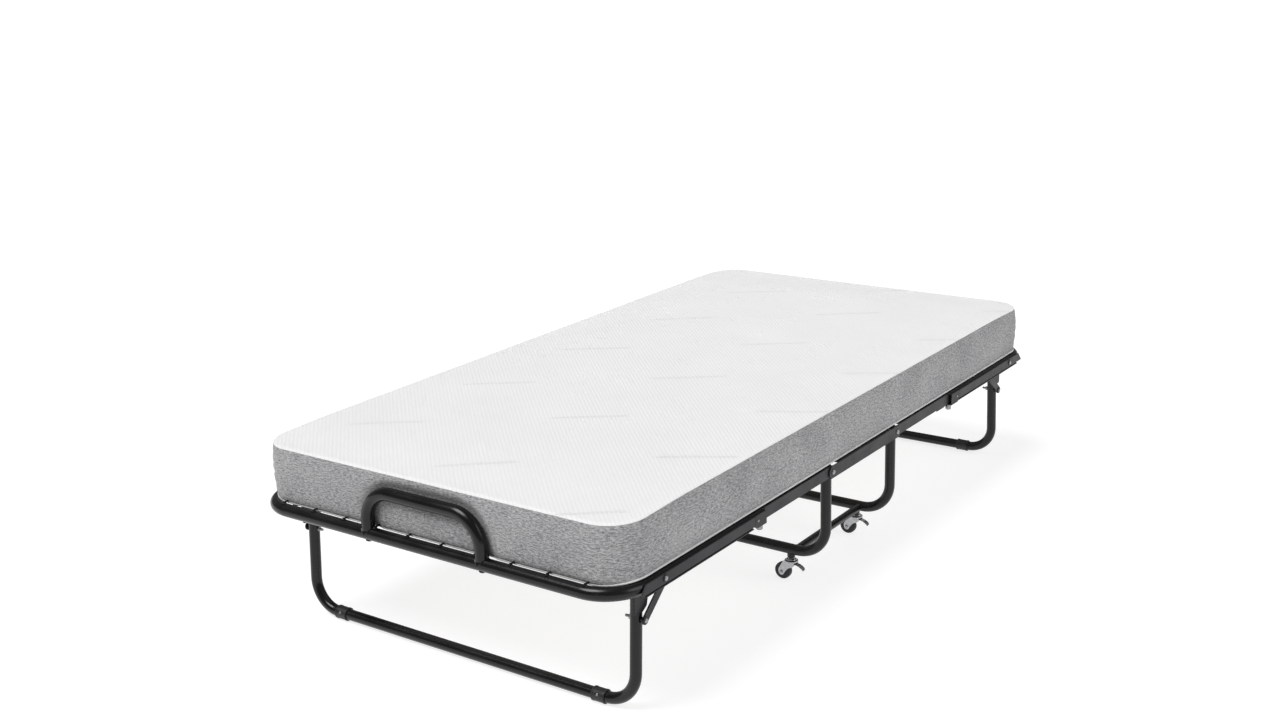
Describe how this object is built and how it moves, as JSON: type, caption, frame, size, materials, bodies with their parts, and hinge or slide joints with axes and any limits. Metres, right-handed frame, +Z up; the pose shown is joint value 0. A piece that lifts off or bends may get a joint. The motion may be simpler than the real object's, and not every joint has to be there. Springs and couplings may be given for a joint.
{
  "type": "rollaway bed",
  "caption": "Folding rollaway bed: black tubular steel frame with folding leg frames, castered centre base, wire deck and a grey and white foam mattress, shown unfolded.",
  "frame": {"origin": "on the floor under the middle of the unfolded bed", "axes": "+Z up, +X to the head end, +Y to the left side as seen from the foot end"},
  "size_m": [1.905, 0.973, 0.4136],
  "materials": {
    "frame_paint": "gloss",
    "foot_plastic": "satin",
    "caster_chrome": "polished",
    "caster_tyre": "matte",
    "mattress_cover": "matte"
  },
  "bodies": {
    "foot_half": {"foot_end_tube": "frame_paint", "foot_handle": "frame_paint", "foot_outer_deck": "frame_paint", "foot_inner_deck": "frame_paint", "foot_right_side_angle": "frame_paint", "foot_right_joint_bracket": "frame_paint", "foot_right_inner_rail": "frame_paint", "foot_left_side_angle": "frame_paint", "foot_left_joint_bracket": "frame_paint", "foot_left_inner_rail": "frame_paint", "foot_mattress": "mattress_cover"},
    "base": {"foot_u_frame": "frame_paint", "foot_support_bar": "frame_paint", "head_u_frame": "frame_paint", "head_support_bar": "frame_paint", "right_link_rail": "frame_paint", "right_base_bar": "frame_paint", "left_link_rail": "frame_paint", "left_base_bar": "frame_paint", "middle_mattress": "mattress_cover"},
    "foot_leg": {"foot_leg_frame": "frame_paint", "foot_right_foot_sleeve": "foot_plastic", "foot_left_foot_sleeve": "foot_plastic"},
    "foot_brace": {"foot_right_brace_bar": "frame_paint", "foot_left_brace_bar": "frame_paint"},
    "foot_links": {"foot_right_short_link": "frame_paint", "foot_left_short_link": "frame_paint"},
    "foot_right_fork": {"foot_right_caster_fork": "caster_chrome"},
    "foot_right_wheel": {"foot_right_caster_wheel": "caster_tyre"},
    "foot_right_pedal": {"foot_right_caster_pedal": "caster_chrome"},
    "foot_left_fork": {"foot_left_caster_fork": "caster_chrome"},
    "foot_left_wheel": {"foot_left_caster_wheel": "caster_tyre"},
    "foot_left_pedal": {"foot_left_caster_pedal": "caster_chrome"},
    "head_half": {"head_end_tube": "frame_paint", "head_handle": "frame_paint", "head_outer_deck": "frame_paint", "head_inner_deck": "frame_paint", "head_right_side_angle": "frame_paint", "head_right_joint_bracket": "frame_paint", "head_right_inner_rail": "frame_paint", "head_left_side_angle": "frame_paint", "head_left_joint_bracket": "frame_paint", "head_left_inner_rail": "frame_paint", "head_mattress": "mattress_cover"},
    "head_leg": {"head_leg_frame": "frame_paint", "head_right_foot_sleeve": "foot_plastic", "head_left_foot_sleeve": "foot_plastic"},
    "head_brace": {"head_right_brace_bar": "frame_paint", "head_left_brace_bar": "frame_paint"},
    "head_links": {"head_right_short_link": "frame_paint", "head_left_short_link": "frame_paint"},
    "head_right_fork": {"head_right_caster_fork": "caster_chrome"},
    "head_right_wheel": {"head_right_caster_wheel": "caster_tyre"},
    "head_right_pedal": {"head_right_caster_pedal": "caster_chrome"},
    "head_left_fork": {"head_left_caster_fork": "caster_chrome"},
    "head_left_wheel": {"head_left_caster_wheel": "caster_tyre"},
    "head_left_pedal": {"head_left_caster_pedal": "caster_chrome"}
  },
  "joints": [
    {"name": "foot_fold", "type": "hinge", "parent": "base", "child": "foot_half", "pos_m": [-0.156, 0, 0.279], "axis": [0, 1, 0], "range_deg": [0, 90], "deforming": ["middle_mattress"]},
    {"name": "foot_brace_swing", "type": "hinge", "parent": "foot_half", "child": "foot_brace", "pos_m": [-0.76, 0, 0.252], "axis": [0, -1, 0], "range_deg": [0, 124]},
    {"name": "foot_leg_turn", "type": "hinge", "parent": "foot_brace", "child": "foot_leg", "pos_m": [-0.83, 0, 0.193], "axis": [0, -1, 0], "range_deg": [-33.2, 0]},
    {"name": "foot_link_swing", "type": "hinge", "parent": "foot_half", "child": "foot_links", "pos_m": [-0.784, 0, 0.24], "axis": [0, -1, 0], "range_deg": [0, 184.5]},
    {"name": "head_fold", "type": "hinge", "parent": "base", "child": "head_half", "pos_m": [0.156, 0, 0.279], "axis": [0, -1, 0], "range_deg": [0, 90], "deforming": ["middle_mattress"]},
    {"name": "head_brace_swing", "type": "hinge", "parent": "head_half", "child": "head_brace", "pos_m": [0.76, 0, 0.252], "axis": [0, 1, 0], "range_deg": [0, 124]},
    {"name": "head_leg_turn", "type": "hinge", "parent": "head_brace", "child": "head_leg", "pos_m": [0.83, 0, 0.193], "axis": [0, 1, 0], "range_deg": [-33.2, 0]},
    {"name": "head_link_swing", "type": "hinge", "parent": "head_half", "child": "head_links", "pos_m": [0.784, 0, 0.24], "axis": [0, 1, 0], "range_deg": [0, 184.5]},
    {"name": "foot_right_swivel", "type": "hinge", "parent": "base", "child": "foot_right_fork", "pos_m": [-0.156, -0.376, 0.05], "axis": [0, 0, 1], "continuous": true},
    {"name": "foot_right_roll", "type": "hinge", "parent": "foot_right_fork", "child": "foot_right_wheel", "pos_m": [-0.156, -0.356, 0.0195], "axis": [1, 0, 0], "continuous": true},
    {"name": "foot_right_brake", "type": "hinge", "parent": "foot_right_fork", "child": "foot_right_pedal", "pos_m": [-0.156, -0.381, 0.038], "axis": [1, 0, 0], "range_deg": [0, 10]},
    {"name": "foot_left_swivel", "type": "hinge", "parent": "base", "child": "foot_left_fork", "pos_m": [-0.156, 0.376, 0.05], "axis": [0, 0, 1], "continuous": true},
    {"name": "foot_left_roll", "type": "hinge", "parent": "foot_left_fork", "child": "foot_left_wheel", "pos_m": [-0.156, 0.396, 0.0195], "axis": [1, 0, 0], "continuous": true},
    {"name": "foot_left_brake", "type": "hinge", "parent": "foot_left_fork", "child": "foot_left_pedal", "pos_m": [-0.156, 0.371, 0.038], "axis": [1, 0, 0], "range_deg": [0, 10]},
    {"name": "head_right_swivel", "type": "hinge", "parent": "base", "child": "head_right_fork", "pos_m": [0.156, -0.376, 0.05], "axis": [0, 0, 1], "continuous": true},
    {"name": "head_right_roll", "type": "hinge", "parent": "head_right_fork", "child": "head_right_wheel", "pos_m": [0.156, -0.356, 0.0195], "axis": [1, 0, 0], "continuous": true},
    {"name": "head_right_brake", "type": "hinge", "parent": "head_right_fork", "child": "head_right_pedal", "pos_m": [0.156, -0.381, 0.038], "axis": [1, 0, 0], "range_deg": [0, 10]},
    {"name": "head_left_swivel", "type": "hinge", "parent": "base", "child": "head_left_fork", "pos_m": [0.156, 0.376, 0.05], "axis": [0, 0, 1], "continuous": true},
    {"name": "head_left_roll", "type": "hinge", "parent": "head_left_fork", "child": "head_left_wheel", "pos_m": [0.156, 0.396, 0.0195], "axis": [1, 0, 0], "continuous": true},
    {"name": "head_left_brake", "type": "hinge", "parent": "head_left_fork", "child": "head_left_pedal", "pos_m": [0.156, 0.371, 0.038], "axis": [1, 0, 0], "range_deg": [0, 10]}
  ],
  "couplings": [
    {"joint": "foot_leg_turn", "follows": "foot_brace_swing", "ratio": -0.26579},
    {"joint": "foot_link_swing", "follows": "foot_brace_swing", "ratio": 1.4839},
    {"joint": "head_leg_turn", "follows": "head_brace_swing", "ratio": -0.26579},
    {"joint": "head_link_swing", "follows": "head_brace_swing", "ratio": 1.4839}
  ]
}
